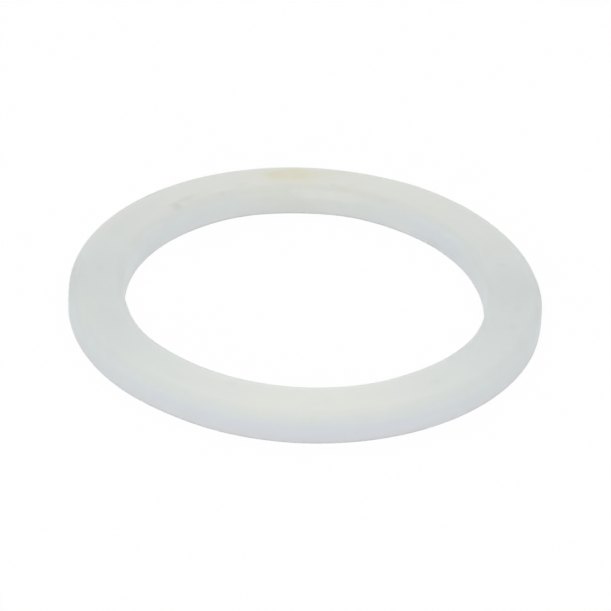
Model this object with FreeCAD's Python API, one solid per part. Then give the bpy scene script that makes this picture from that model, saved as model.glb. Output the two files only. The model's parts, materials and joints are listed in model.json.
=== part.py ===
import FreeCAD, Part
import math
import os

# Group head gasket of an espresso machine: the flat ring that a filter holder's rim is pressed against.
# It is moulded in one piece from translucent silicone rubber. The side that lay in the mould has round
# edges. The other side met the flat plate that closed the mould, so it is flat, and its edges are only
# trimmed. Just above them each wall has a short upright land, which the ring fits its groove by, and
# from there the wall leans in so that the ring could be pulled out of the mould.
#
# Millimetres. The origin is the centre of the flat side, which the ring rests on. +Z is the ring's
# axis, towards the round-edged side. A section is drawn in the XZ plane, with X as the distance from
# the axis.

# Driving sizes
outer_diameter = 73.0          # over the outer wall's land
band_width = 8.75              # from the hole's land to the outer wall's land
height = 4.8
land_height = 1.0
trimmed_edge = 0.2             # both legs of the small bevel along the flat side
wall_draft = 3.0               # degrees that each wall leans from upright above its land
top_outer_edge_radius = 2.0
top_inner_edge_radius = 2.0

# Worked out
outer_radius = outer_diameter / 2
hole_radius = outer_radius - band_width
land_top = trimmed_edge + land_height
draft_angle = math.radians(wall_draft)
straight_up = math.radians(90)

# Which way a wall faces in the section
OUTWARDS = 1
INWARDS = -1


def round_edge(centre_x, centre_z, radius, facing):
    """Arc of a round edge, from the leaning wall to the top."""
    points = []
    for angle in (draft_angle, (draft_angle + straight_up) / 2, straight_up):
        x = centre_x + facing * radius * math.cos(angle)
        z = centre_z + radius * math.sin(angle)
        points.append(FreeCAD.Vector(x, 0, z))
    return Part.Arc(*points)


def wall(land_radius, facing, top_edge_radius):
    """Section of one wall, from the flat side up: trimmed edge, land, leaning face and round edge.

    The round edge is tangent to the leaning face and to the top, and that sets how far its centre
    stands back from the land.
    """
    centre_z = height - top_edge_radius
    lean = (centre_z - land_top) * math.sin(draft_angle)
    set_back = (lean + top_edge_radius) / math.cos(draft_angle)
    top_edge = round_edge(land_radius - facing * set_back, centre_z, top_edge_radius, facing)
    corners = [
        FreeCAD.Vector(land_radius - facing * trimmed_edge, 0, 0),
        FreeCAD.Vector(land_radius, 0, trimmed_edge),
        FreeCAD.Vector(land_radius, 0, land_top),
        top_edge.StartPoint,
    ]
    flats = [Part.LineSegment(low, high) for low, high in zip(corners, corners[1:])]
    return [*flats, top_edge]


def ring_section():
    """Closed section of the ring: two walls joined by the flat side and the top."""
    outer = wall(outer_radius, OUTWARDS, top_outer_edge_radius)
    inner = wall(hole_radius, INWARDS, top_inner_edge_radius)
    flat_side = Part.LineSegment(inner[0].StartPoint, outer[0].StartPoint)
    top = Part.LineSegment(outer[-1].EndPoint, inner[-1].EndPoint)
    edges = [curve.toShape() for curve in (flat_side, *outer, top, *inner)]
    return Part.Face(Part.Wire(Part.sortEdges(edges)[0]))


def gasket_ring():
    """The whole gasket: its section turned once round the axis."""
    return ring_section().revolve(FreeCAD.Vector(0, 0, 0), FreeCAD.Vector(0, 0, 1), 360)


os.makedirs("parts", exist_ok=True)
gasket_ring().exportStep("parts/gasket_ring.step")
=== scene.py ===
import json
import math
import bpy
from mathutils import Matrix, Vector


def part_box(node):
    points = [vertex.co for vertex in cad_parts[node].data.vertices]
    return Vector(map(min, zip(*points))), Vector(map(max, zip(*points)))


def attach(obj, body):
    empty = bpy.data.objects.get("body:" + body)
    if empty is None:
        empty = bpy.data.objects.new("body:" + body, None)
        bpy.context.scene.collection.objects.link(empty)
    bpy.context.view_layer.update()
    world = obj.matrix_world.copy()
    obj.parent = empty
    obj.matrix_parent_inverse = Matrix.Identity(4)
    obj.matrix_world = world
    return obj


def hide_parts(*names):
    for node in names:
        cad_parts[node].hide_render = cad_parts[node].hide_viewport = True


# Group head gasket: one ring of milky silicone rubber on a pale floor. Metres, +Z up. The ring's flat
# side lies on the floor round the origin, and its round edges are on top. An azimuth is in degrees round
# the axis from +X towards +Y, so the side nearest the camera is at -90 and the far side at 90.

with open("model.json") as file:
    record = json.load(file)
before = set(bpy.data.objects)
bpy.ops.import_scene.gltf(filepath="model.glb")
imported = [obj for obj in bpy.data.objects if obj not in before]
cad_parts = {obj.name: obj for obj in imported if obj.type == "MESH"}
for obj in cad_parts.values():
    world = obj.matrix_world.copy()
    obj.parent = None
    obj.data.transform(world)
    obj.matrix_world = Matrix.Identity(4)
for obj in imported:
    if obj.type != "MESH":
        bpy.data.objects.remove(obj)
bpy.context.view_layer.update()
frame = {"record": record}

MM = 0.001

# Sizes that the frame gives
mounts = {mount["name"]: mount for mount in frame["record"]["mounts"]}
outer_radius = mounts["outer_wall"]["dims"]["r_mm"] * MM
hole_radius = mounts["hole"]["dims"]["r_mm"] * MM
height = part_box("gasket_ring")[1].z

# The rest of the section, as in the solid
trimmed_edge = 0.2 * MM
land_height = 1.0 * MM
land_top = trimmed_edge + land_height
wall_draft = math.radians(3.0)
top_edge_radius = 2.0 * MM

# How finely the ring is modelled, and the gap under which two places count as one
steps_round = 720
top_edge_segments = 10
trimmed_edge_segments = 3
flat_cuts = 13
wall_cuts = 4
land_cuts = 2
tiny = 0.002 * MM

# How uneven the moulded faces are, and how far under their true place they lie
swell_depth = 0.05 * MM
swell_size = 9.0 * MM
swell_under = 0.03 * MM

# Where the soft ring, which lies loose, is a little out of round: first the outer wall, then the wall of
# the hole. Each place has an azimuth, then millimetres: how far from the axis it is, how far it is moved
# outwards, and how far round it that reaches.
bends = (
    (-122.0, 36.5, -0.19, 11.0),
    (-90.0, 36.5, 0.05, 9.0),
    (0.0, 36.5, 0.10, 7.0),
    (45.0, 36.5, 0.14, 9.0),
    (61.0, 36.5, 0.27, 9.0),
    (84.0, 36.5, -0.08, 9.0),
    (-146.0, 27.75, 0.29, 9.0),
    (-56.0, 27.75, -0.22, 10.0),
    (-26.0, 27.75, 0.14, 8.0),
    (-4.0, 27.75, -0.10, 6.0),
    (14.0, 27.75, -0.15, 10.0),
    (34.0, 27.75, -0.08, 7.0),
    (75.0, 27.75, 0.26, 10.0),
    (115.0, 27.75, 0.19, 10.0),
)

# Small dents along the back: a nick on top at the left, then three in the edge of the hole. Each has an
# azimuth, then millimetres: how far from the axis and how high it is, how deep it is and how far it
# reaches.
dents = (
    (136.4, 29.85, 4.8, 0.09, 0.9),
    (134.3, 30.1, 4.8, 0.07, 0.7),
    (131.8, 30.3, 4.8, 0.06, 0.7),
    (95.0, 28.2, 3.7, 0.10, 1.6),
    (88.0, 28.05, 3.3, 0.12, 1.6),
    (81.5, 28.1, 3.4, 0.10, 1.4),
)

# Tints of the rubber with painted light in them: the top greyer at the left and right, warmer behind and
# creamy in front, and the walls cooler and bluer, as the lamps fall on each face
land_tint = (0.746, 0.758, 0.768, 1)
blue_wall_tint = (0.731, 0.757, 0.783, 1)
side_wall_tint = (0.721, 0.759, 0.757, 1)
back_wall_tint = (0.741, 0.759, 0.731, 1)
side_top_tint = (0.645, 0.675, 0.664, 1)
back_top_tint = (0.730, 0.735, 0.686, 1)
cream_top_tint = (0.677, 0.682, 0.639, 1)

# Painted light and painted shade: how much paler the top is in front, also by the hole, and how much deeper
# the outer rim is elsewhere
painted_light_in_front = 0.14
painted_light_and_shade_by_hole = 0.02
painted_shade_at_rim = 0.05

# Where one tint gives way to the next: between two heights, between two distances from the axis, or for
# the blue of the front wall between two shares of the way to the very front
land_to_wall = (0.6 * MM, 1.8 * MM)
wall_to_top = (2.8 * MM, 5.2 * MM)
blue_to_plain = (2.4 * MM, 3.8 * MM)
side_to_blue = (0.45, 0.95)
hole_to_band = (28.5 * MM, 32.5 * MM)
band_to_rim = (35.3 * MM, 36.2 * MM)

# How closely each change keeps to its side of the ring: the power that its share is raised to
pale_front_power = 2
rim_power = 3
cream_front_power = 4
back_wall_power = 5

# How far the borders of the tints waver: as a share of the way to the front or back, and in height
side_waver = 0.2
side_waver_size = 9.0 * MM
height_waver = 0.8 * MM
height_waver_size = 4.0 * MM

# Tints of what has got on the rubber, and of painted light, painted highlight and painted shade
yellow_stain = (0.708, 0.708, 0.575, 1)
amber_stain = (0.711, 0.660, 0.524, 1)
brown_stain = (0.640, 0.590, 0.470, 1)
warm_film = (0.752, 0.752, 0.677, 1)
grey_dirt_and_shade = (0.56, 0.56, 0.54, 1)
soft_shade = (0.55, 0.58, 0.56, 1)
painted_cool_light_tint = (0.700, 0.735, 0.785, 1)
painted_light_tint = (0.79, 0.815, 0.805, 1)
painted_highlight_tint = (0.80, 0.80, 0.76, 1)

# Stains and dirt, and patches of painted light, painted highlight and painted shade. Each has an azimuth,
# then
# millimetres: how far from the axis and how high its middle is, and how far it reaches across the band,
# along it and upwards. Then come its tint and how strong that is.
marks = (
    # the stain behind
    (95.8, 32.2, 4.8, (3.4, 8.0, 2.0), yellow_stain, 0.70),
    (99.7, 32.4, 4.8, (1.8, 2.4, 1.5), amber_stain, 0.45),
    (93.9, 32.2, 4.8, (2.1, 2.3, 1.5), amber_stain, 0.58),
    (100.6, 32.8, 4.8, (1.2, 2.4, 1.0), brown_stain, 0.15),
    (95.5, 34.4, 4.8, (1.3, 3.8, 1.5), yellow_stain, 0.40),
    (84.0, 33.8, 4.8, (1.6, 3.4, 1.5), yellow_stain, 0.35),
    (79.3, 29.3, 4.7, (0.8, 1.3, 1.0), yellow_stain, 0.40),
    (77.2, 30.6, 4.8, (0.7, 1.3, 1.0), yellow_stain, 0.45),
    # a fainter one at the left
    (-160.0, 34.3, 4.8, (1.8, 6.5, 1.5), yellow_stain, 0.13),
    # on the wall of the hole: a stain and a warm patch, then painted cool light, painted shade low down, a
    # painted highlight along the edge and painted light
    (94.3, 27.8, 1.3, (1.2, 4.5, 1.6), brown_stain, 0.11),
    (103.0, 27.9, 3.1, (1.4, 6.5, 1.8), warm_film, 0.35),
    (41.0, 27.8, 2.4, (1.5, 15.0, 2.6), painted_cool_light_tint, 0.34),
    (42.0, 27.8, 0.7, (1.0, 10.0, 1.2), soft_shade, 0.12),
    (84.0, 28.0, 3.6, (1.2, 8.0, 1.3), painted_highlight_tint, 0.60),
    (170.0, 27.7, 2.2, (1.8, 7.0, 2.8), painted_light_tint, 0.35),
    (153.0, 27.9, 3.2, (1.5, 5.0, 1.8), painted_light_tint, 0.28),
    # painted light and painted shade, broad and faint, on top, along the edge of the hole and along the
    # outer rim
    (-100.0, 28.8, 4.5, (1.6, 13.0, 2.0), painted_light_tint, 0.22),
    (-28.0, 28.8, 4.5, (1.8, 10.0, 2.0), soft_shade, 0.16),
    (2.0, 31.8, 4.6, (5.0, 8.0, 2.5), soft_shade, 0.15),
    (150.0, 32.2, 4.8, (2.2, 9.0, 1.5), soft_shade, 0.11),
    (-178.0, 35.6, 4.2, (2.0, 7.0, 2.0), soft_shade, 0.20),
    (140.0, 35.6, 4.4, (1.2, 14.0, 1.6), soft_shade, 0.36),
    # the nick on top, darkened as dirt and as painted shade in it, then specks from left to right along the
    # back
    (136.8, 29.5, 4.8, (1.2, 1.3, 1.0), grey_dirt_and_shade, 0.42),
    (132.3, 30.2, 4.8, (0.9, 3.4, 1.0), grey_dirt_and_shade, 0.28),
    (125.4, 30.3, 4.8, (1.0, 1.8, 1.0), grey_dirt_and_shade, 0.10),
    (119.7, 29.1, 4.7, (0.6, 0.6, 1.0), grey_dirt_and_shade, 0.20),
    (112.3, 30.4, 4.8, (0.9, 1.6, 1.0), grey_dirt_and_shade, 0.13),
    (82.9, 29.9, 4.8, (0.6, 0.8, 1.0), grey_dirt_and_shade, 0.20),
    (64.9, 28.7, 4.5, (0.7, 1.0, 1.0), grey_dirt_and_shade, 0.10),
    (50.8, 30.4, 4.8, (1.0, 1.2, 1.0), grey_dirt_and_shade, 0.10),
    # specks round the right, the front and the left
    (13.0, 31.3, 4.8, (1.3, 0.7, 1.0), grey_dirt_and_shade, 0.20),
    (-9.3, 32.8, 4.8, (0.8, 2.0, 1.0), grey_dirt_and_shade, 0.20),
    (-18.8, 33.1, 4.8, (0.8, 1.1, 1.0), grey_dirt_and_shade, 0.20),
    (-53.0, 32.6, 4.8, (0.8, 1.5, 1.0), grey_dirt_and_shade, 0.10),
    (-109.2, 30.9, 4.8, (0.8, 1.5, 1.0), grey_dirt_and_shade, 0.10),
    (-176.0, 34.9, 4.7, (1.2, 0.9, 1.0), grey_dirt_and_shade, 0.15),
    (179.7, 31.6, 4.8, (0.6, 1.1, 1.0), grey_dirt_and_shade, 0.20),
)

# How a mark ends: the shares of its reach between which it fades, and how ragged its outline is
mark_fade = (0.3, 1.1)
mark_raggedness = 0.9
mark_raggedness_size = 1.5 * MM

# How uneven the colour is in large and in small patches, how satin the face is, and how deep its grain is
cloud_strength = 0.03
cloud_size = 5.0 * MM
mottle_strength = 0.02
mottle_size = 1.2 * MM
face_roughness = 0.55
face_roughness_change = 0.12
face_roughness_size = 3.0 * MM
grain_size = 0.5 * MM
grain_depth = 0.01 * MM

# The lamps: a name, where each hangs, its width and depth, how bright it makes a white card at the ring,
# and its tint. The room lights the ring from all round.
softboxes = (
    ("softbox_front", (0, -0.35, 0.45), (0.9, 0.9), 0.335, (0.97, 0.985, 1.0)),
    ("softbox_back", (0, 0.5, 0.5), (0.8, 0.8), 0.225, (1.0, 1.0, 1.0)),
    ("softbox_left", (-0.7, 0, 0.2), (0.6, 0.25), 0.08, (0.985, 0.995, 1.0)),
    ("softbox_right", (0.7, 0, 0.2), (0.6, 0.25), 0.055, (0.985, 0.995, 1.0)),
)
room_light = 0.48

# The floor, and how much of its seen colour is plain white. The rest is lit, and holds the ring's shadow.
floor_width = 6.0
floor_tint = (0.97, 0.97, 0.97, 1)
plain_white = 0.94

# The camera, fitted to the two outlines of the ring in the photograph
camera_elevation = math.radians(32.658)
camera_roll = math.radians(2.8615)
camera_distance = 366.26 * MM
camera_aim_drop = 2.08 * MM
photo_width = 611
focal_pixels = 2373.2
sensor_width = 36.0
camera_clip_start = 10.0 * MM


def only(piece):
    """Selects one piece and nothing else."""
    bpy.ops.object.select_all(action="DESELECT")
    piece.select_set(True)
    bpy.context.view_layer.objects.active = piece


def pick_corners(piece, wanted):
    """In edit mode, selects the corners of a piece whose place is wanted."""
    bpy.ops.mesh.select_mode(type="VERT")
    bpy.ops.mesh.select_all(action="DESELECT")
    bpy.ops.object.mode_set(mode="OBJECT")
    for corner in piece.data.vertices:
        corner.select = wanted(corner.co)
    bpy.ops.object.mode_set(mode="EDIT")


def pick_edges(piece, wanted):
    """In edit mode, selects the edges of a piece whose lower and higher ends are wanted."""
    bpy.ops.mesh.select_mode(type="EDGE")
    bpy.ops.mesh.select_all(action="DESELECT")
    bpy.ops.object.mode_set(mode="OBJECT")
    places = [corner.co for corner in piece.data.vertices]
    for edge in piece.data.edges:
        low, high = sorted((places[end] for end in edge.vertices), key=lambda place: place.z)
        edge.select = wanted(low, high)
    bpy.ops.object.mode_set(mode="EDIT")


def modify(piece, kind, **settings):
    """Adds a modifier to a piece and applies it."""
    only(piece)
    bpy.ops.object.modifier_add(type=kind)
    modifier = piece.modifiers[-1]
    for name, value in settings.items():
        setattr(modifier, name, value)
    bpy.ops.object.modifier_apply(modifier=modifier.name)


def place_at(azimuth, from_axis, high):
    """A place from an azimuth in degrees and two distances in millimetres."""
    angle = math.radians(azimuth)
    return Vector((from_axis * math.cos(angle), from_axis * math.sin(angle), high)) * MM


def is_level(low, high):
    """Whether an edge of the section lies on the flat side or on the top."""
    return high.z - low.z < tiny


def is_wall(low, high):
    """Whether an edge of the section is the leaning part of a wall."""
    return high.z - low.z > tiny and abs(low.z - land_top) < tiny


def is_land(low, high):
    """Whether an edge of the section is the upright land of a wall."""
    return high.z - low.z > tiny and abs(high.z - land_top) < tiny


def ring_section():
    """The ring's section as a closed line right of the axis, drawn from a plane."""
    band = outer_radius - hole_radius
    middle = (outer_radius + hole_radius) / 2
    bpy.ops.object.select_all(action="DESELECT")
    bpy.ops.mesh.primitive_plane_add(size=1, location=(middle, 0, height / 2), rotation=(math.pi / 2, 0, 0))
    section = bpy.context.object
    section.scale = (band, height, 1)
    bpy.ops.object.transform_apply(location=True, rotation=True, scale=True)
    bpy.ops.object.mode_set(mode="EDIT")
    bpy.ops.mesh.select_all(action="SELECT")
    bpy.ops.mesh.bisect(plane_co=(0, 0, land_top), plane_no=(0, 0, 1))

    # the walls lean in above the land, and the edges along the top are round
    lean = (height - land_top) * math.tan(wall_draft)
    pick_corners(section, lambda place: place.z > height - tiny)
    bpy.ops.transform.resize(value=(1 - 2 * lean / band, 1, 1))
    edge_setback = top_edge_radius * math.tan((math.pi / 2 - wall_draft) / 2)
    bpy.ops.mesh.bevel(offset=edge_setback, segments=top_edge_segments, affect="VERTICES")
    pick_corners(section, lambda place: place.z < tiny)
    bpy.ops.mesh.bevel(offset=trimmed_edge, segments=trimmed_edge_segments, affect="VERTICES")

    # only the outline is kept, and its straight stretches are divided
    bpy.ops.mesh.select_all(action="SELECT")
    bpy.ops.mesh.dissolve_faces()
    bpy.ops.mesh.delete(type="ONLY_FACE")
    for is_wanted, cuts in ((is_level, flat_cuts), (is_wall, wall_cuts), (is_land, land_cuts)):
        pick_edges(section, is_wanted)
        bpy.ops.mesh.subdivide(number_cuts=cuts)
    bpy.ops.object.mode_set(mode="OBJECT")
    return section


def swell(ring):
    """Makes the moulded faces sink and rise a little, as rubber does. The flat side stays as it is."""
    only(ring)
    bpy.ops.object.mode_set(mode="EDIT")
    pick_corners(ring, lambda place: place.z > tiny)
    bpy.ops.object.vertex_group_assign_new()
    bpy.ops.object.mode_set(mode="OBJECT")
    clouds = bpy.data.textures.new("moulded_swell", "CLOUDS")
    clouds.noise_scale = swell_size
    modify(
        ring, "DISPLACE", texture=clouds, texture_coords="LOCAL", strength=swell_depth,
        mid_level=1 + swell_under / swell_depth, vertex_group=ring.vertex_groups[0].name,
    )


def push(piece, azimuth, from_axis, high, shift, reach):
    """Moves the corner nearest to a place outwards and up, and softly takes along those within reach."""
    middle = place_at(azimuth, from_axis, high)
    nearest = min(piece.data.vertices, key=lambda corner: (corner.co - middle).length_squared).co.copy()
    outwards, up = shift
    only(piece)
    bpy.ops.object.mode_set(mode="EDIT")
    pick_corners(piece, lambda place: place == nearest)
    bpy.ops.transform.translate(
        value=place_at(azimuth, outwards, up), use_proportional_edit=True,
        proportional_edit_falloff="SMOOTH", proportional_size=reach * MM,
    )
    bpy.ops.object.mode_set(mode="OBJECT")


def model_ring():
    """The gasket: its section turned once round the axis, then made uneven, bent and dented."""
    ring = ring_section()
    ring.name = "silicone_ring"
    modify(
        ring, "SCREW", angle=math.tau, steps=steps_round, render_steps=steps_round, use_merge_vertices=True,
    )
    bpy.ops.object.mode_set(mode="EDIT")
    bpy.ops.mesh.select_all(action="SELECT")
    bpy.ops.mesh.remove_doubles(threshold=tiny)
    bpy.ops.mesh.normals_make_consistent(inside=False)
    bpy.ops.object.mode_set(mode="OBJECT")
    swell(ring)
    for azimuth, from_axis, outwards, reach in bends:
        push(ring, azimuth, from_axis, land_top / MM, (outwards, 0), reach)
    for azimuth, from_axis, high, deep, reach in dents:
        push(ring, azimuth, from_axis, high, (0, -deep), reach)
    bpy.ops.object.shade_smooth()
    return ring


class Socket:
    """An output of a shader node. Arithmetic on it adds Math nodes."""

    def __init__(self, finish, output):
        self.finish = finish
        self.output = output

    def math(self, operation, first, second=0.0, **settings):
        """Adds one Math node."""
        return self.finish.node("Math", dict(operation=operation, **settings), {0: first, 1: second})

    def __add__(self, other):
        return self.math("ADD", self, other)

    def __sub__(self, other):
        return self.math("SUBTRACT", self, other)

    def __rsub__(self, other):
        return self.math("SUBTRACT", other, self)

    def __mul__(self, other):
        return self.math("MULTIPLY", self, other)

    def __pow__(self, other):
        return self.math("POWER", self, other)

    __radd__ = __add__
    __rmul__ = __mul__

    def held(self):
        """The value kept between 0 and 1."""
        return self.math("ADD", self, use_clamp=True)

    def beside(self, name):
        """Another output of the same node."""
        return Socket(self.finish, self.output.node.outputs[name])


class Finish:
    """The nodes of one material or of the world."""

    def __init__(self, owner):
        owner.use_nodes = True
        self.tree = owner.node_tree
        self.tree.nodes.clear()

    def node(self, kind, settings=None, inputs=None, out=0):
        """Adds a node, sets its settings, then gives its inputs a value or a link. Returns one output."""
        made = self.tree.nodes.new("ShaderNode" + kind)
        for name, value in (settings or {}).items():
            setattr(made, name, value)
        for name, value in (inputs or {}).items():
            if isinstance(value, Socket):
                self.tree.links.new(value.output, made.inputs[name])
            else:
                made.inputs[name].default_value = value
        return Socket(self, made.outputs[out]) if made.outputs else None

    def mix(self, share, first, second):
        """Goes from the first colour to the second by a share from 0 to 1."""
        # the node's colours are its inputs 6 and 7 and its output 2
        return self.node("Mix", {"data_type": "RGBA"}, {"Factor": share, 6: first, 7: second}, out=2)

    def scaled(self, colour, level):
        """A colour made paler or deeper by a number."""
        return self.node("VectorMath", {"operation": "SCALE"}, {"Vector": colour, "Scale": level})

    def noise(self, place, size, detail=2.0, roughness=0.5):
        """Soft noise round 0, with patches of about a size in metres."""
        inputs = {"Vector": place, "Scale": 1 / size, "Detail": detail, "Roughness": roughness}
        return self.node("TexNoise", None, inputs) - 0.5


def soft_step(value, start, end):
    """0 before the start and 1 after the end, with a smooth rise between."""
    settings = {"interpolation_type": "SMOOTHSTEP"}
    return value.finish.node("MapRange", settings, {"Value": value, "From Min": start, "From Max": end})


def ring_places(finish):
    """A point's place, how far from the axis and how high it is, and from 1 in front to -1 behind."""
    place = finish.node("TexCoord", out="Object")
    x = finish.node("SeparateXYZ", None, {"Vector": place})
    y = x.beside("Y")
    from_axis = (x * x + y * y) ** 0.5
    forwards = -1 * y * from_axis ** -1
    return place, from_axis, x.beside("Z"), forwards


def top_colour(finish, from_axis, forwards, in_front, behind):
    """Greyer at the left and right, warmer behind, and creamy and paler in front: painted light on the
    rubber's milky tint. By the hole it is also painted paler in front and darker behind.
    """
    top = finish.mix(behind, side_top_tint, back_top_tint)
    top = finish.mix(in_front ** cream_front_power, top, cream_top_tint)
    by_hole = 1 - soft_step(from_axis, *hole_to_band)
    painted_lightening = painted_light_in_front * in_front ** pale_front_power + painted_light_and_shade_by_hole * by_hole * forwards
    return finish.scaled(top, 1 + painted_lightening)


def wall_colour(finish, z, in_front, behind):
    """Cool and milky, bluer low down in front, and warmer behind: the rubber's milky tint with painted
    light in it.
    """
    bluer = soft_step(in_front, *side_to_blue) * (1 - soft_step(z, *blue_to_plain))
    wall = finish.mix(bluer, side_wall_tint, blue_wall_tint)
    wall = finish.mix(soft_step(z, *land_to_wall), land_tint, wall)
    return finish.mix(behind ** back_wall_power, wall, back_wall_tint)


def rubber_with_painted_light_colour(finish, place, from_axis, z, forwards):
    """The rubber's colour with painted light: the walls and the top, which run into each other over the
    round edges, each tinted as the lamps fall on it, and painted shade on the outer rim away from the
    front.
    """
    waver = side_waver * finish.noise(place, side_waver_size, detail=3.0)
    in_front = (forwards + waver).held()
    behind = (waver - forwards).held()
    top = top_colour(finish, from_axis, forwards, in_front, behind)
    wall = wall_colour(finish, z, in_front, behind)
    on_top = soft_step(z + height_waver * finish.noise(place, height_waver_size), *wall_to_top)
    # painted shade on the outer rim, except in front
    at_rim = soft_step(from_axis, *band_to_rim) * (1 - in_front) ** rim_power
    return finish.scaled(finish.mix(on_top, wall, top), 1 - painted_shade_at_rim * at_rim)


def marked_colour(finish, place, colour):
    """A colour with the stains, the dirt, and the painted light, highlight and shade on it, each ragged at
    its rim.
    """
    ragged = mark_raggedness * finish.noise(place, mark_raggedness_size, detail=4.0, roughness=0.6)
    for azimuth, from_axis, high, reach, tint, strength in marks:
        inside = finish.node("Mapping", {"vector_type": "TEXTURE"}, {
            "Vector": place,
            "Location": place_at(azimuth, from_axis, high),
            "Rotation": (0, 0, math.radians(azimuth)),
            "Scale": Vector(reach) * MM,
        })
        distance = finish.node("VectorMath", {"operation": "LENGTH"}, {"Vector": inside}, out="Value")
        share = strength * (1 - soft_step(distance + ragged, *mark_fade))
        colour = finish.mix(share, colour, tint)
    return colour


def milky_silicone():
    """Milky silicone rubber, which lets some light in and has a satin face with a fine grain."""
    material = bpy.data.materials.new("milky_silicone")
    finish = Finish(material)
    place, from_axis, z, forwards = ring_places(finish)
    colour = marked_colour(finish, place, rubber_with_painted_light_colour(finish, place, from_axis, z, forwards))
    clouds = cloud_strength * finish.noise(place, cloud_size, detail=4.0)
    mottles = mottle_strength * finish.noise(place, mottle_size)
    grain = finish.noise(place, grain_size, detail=3.0)
    shader = finish.node("BsdfPrincipled", None, {
        "Base Color": finish.scaled(colour, 1 + clouds + mottles),
        "Roughness": face_roughness + face_roughness_change * finish.noise(place, face_roughness_size),
        "Normal": finish.node("Bump", None, {"Height": grain, "Strength": 0.3, "Distance": grain_depth}),
        "IOR": 1.41,
        "Specular IOR Level": 0.25,
        "Subsurface Weight": 0.5,
        "Subsurface Radius": (1.0, 0.95, 0.85),
        "Subsurface Scale": 1.3 * MM,
    })
    finish.node("OutputMaterial", None, {"Surface": shader})
    return material


def seen(finish):
    """1 for what the camera sees, also in a gloss or through the ring, and 0 for what lights the ring."""
    direct = finish.node("LightPath", out="Is Camera Ray")
    return (direct + direct.beside("Is Glossy Ray") + direct.beside("Is Transmission Ray")).held()


def add_camera():
    """Looks along +Y and down, leant a little over, and aimed just below the middle of the ring."""
    right = Vector((1, 0, 0))
    back = Vector((0, -math.cos(camera_elevation), math.sin(camera_elevation)))
    turned = Matrix((right, back.cross(right), back)).transposed() @ Matrix.Rotation(camera_roll, 3, "Z")
    data = bpy.data.cameras.new("camera")
    data.sensor_width = sensor_width
    data.lens = focal_pixels / photo_width * sensor_width
    data.clip_start = camera_clip_start
    camera = bpy.data.objects.new("camera", data)
    camera.matrix_world = turned.to_4x4()
    middle = Vector((0, 0, height / 2))
    camera.location = middle + back * camera_distance - turned.col[1] * camera_aim_drop
    bpy.context.scene.collection.objects.link(camera)
    bpy.context.scene.camera = camera


def add_floor():
    """A plain white floor, which shows white to the camera but for the ring's faint shadow."""
    bpy.ops.object.select_all(action="DESELECT")
    bpy.ops.mesh.primitive_plane_add(size=floor_width)
    floor = bpy.context.object
    floor.name = "floor"
    material = bpy.data.materials.new("white_floor")
    finish = Finish(material)
    lit = finish.node("BsdfDiffuse", None, {"Color": floor_tint})
    white = finish.node("Emission", None, {"Color": (1, 1, 1, 1), "Strength": 1.0})
    shader = finish.node("MixShader", None, {0: seen(finish) * plain_white, 1: lit, 2: white})
    finish.node("OutputMaterial", None, {"Surface": shader})
    floor.data.materials.append(material)


def add_world():
    """A white room: full white to the camera, and a lower level on the ring."""
    world = bpy.data.worlds.new("white_studio")
    bpy.context.scene.world = world
    finish = Finish(world)
    share = seen(finish)
    level = share + (1 - share) * room_light
    background = finish.node("Background", None, {"Color": (1, 1, 1, 1), "Strength": level})
    finish.node("OutputWorld", None, {"Surface": background})


def add_softbox(name, place, size, level, tint):
    """A soft lamp that points at the ring."""
    width, depth = size
    distance = Vector(place).length
    # how much light a card at the ring gets for each unit of the lamp's brightness, if it faces the lamp
    card_light = 0.0
    for half, other_half in ((width / 2, depth / 2), (depth / 2, width / 2)):
        slant = math.hypot(half, distance)
        card_light += 2 * half / slant * math.atan(other_half / slant)
    data = bpy.data.lights.new(name, "AREA")
    data.shape = "RECTANGLE"
    data.size = width
    data.size_y = depth
    data.energy = level * math.pi ** 2 * width * depth / card_light
    data.color = tint
    lamp = bpy.data.objects.new(name, data)
    lamp.location = place
    lamp.rotation_euler = (-Vector(place)).to_track_quat("-Z", "Y").to_euler()
    lamp.visible_camera = False
    bpy.context.scene.collection.objects.link(lamp)


ring = model_ring()
ring.data.materials.append(milky_silicone())
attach(ring, "root")
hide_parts("gasket_ring")

add_camera()
add_floor()
add_world()
for softbox in softboxes:
    add_softbox(*softbox)

bpy.context.scene.view_settings.view_transform = "Standard"
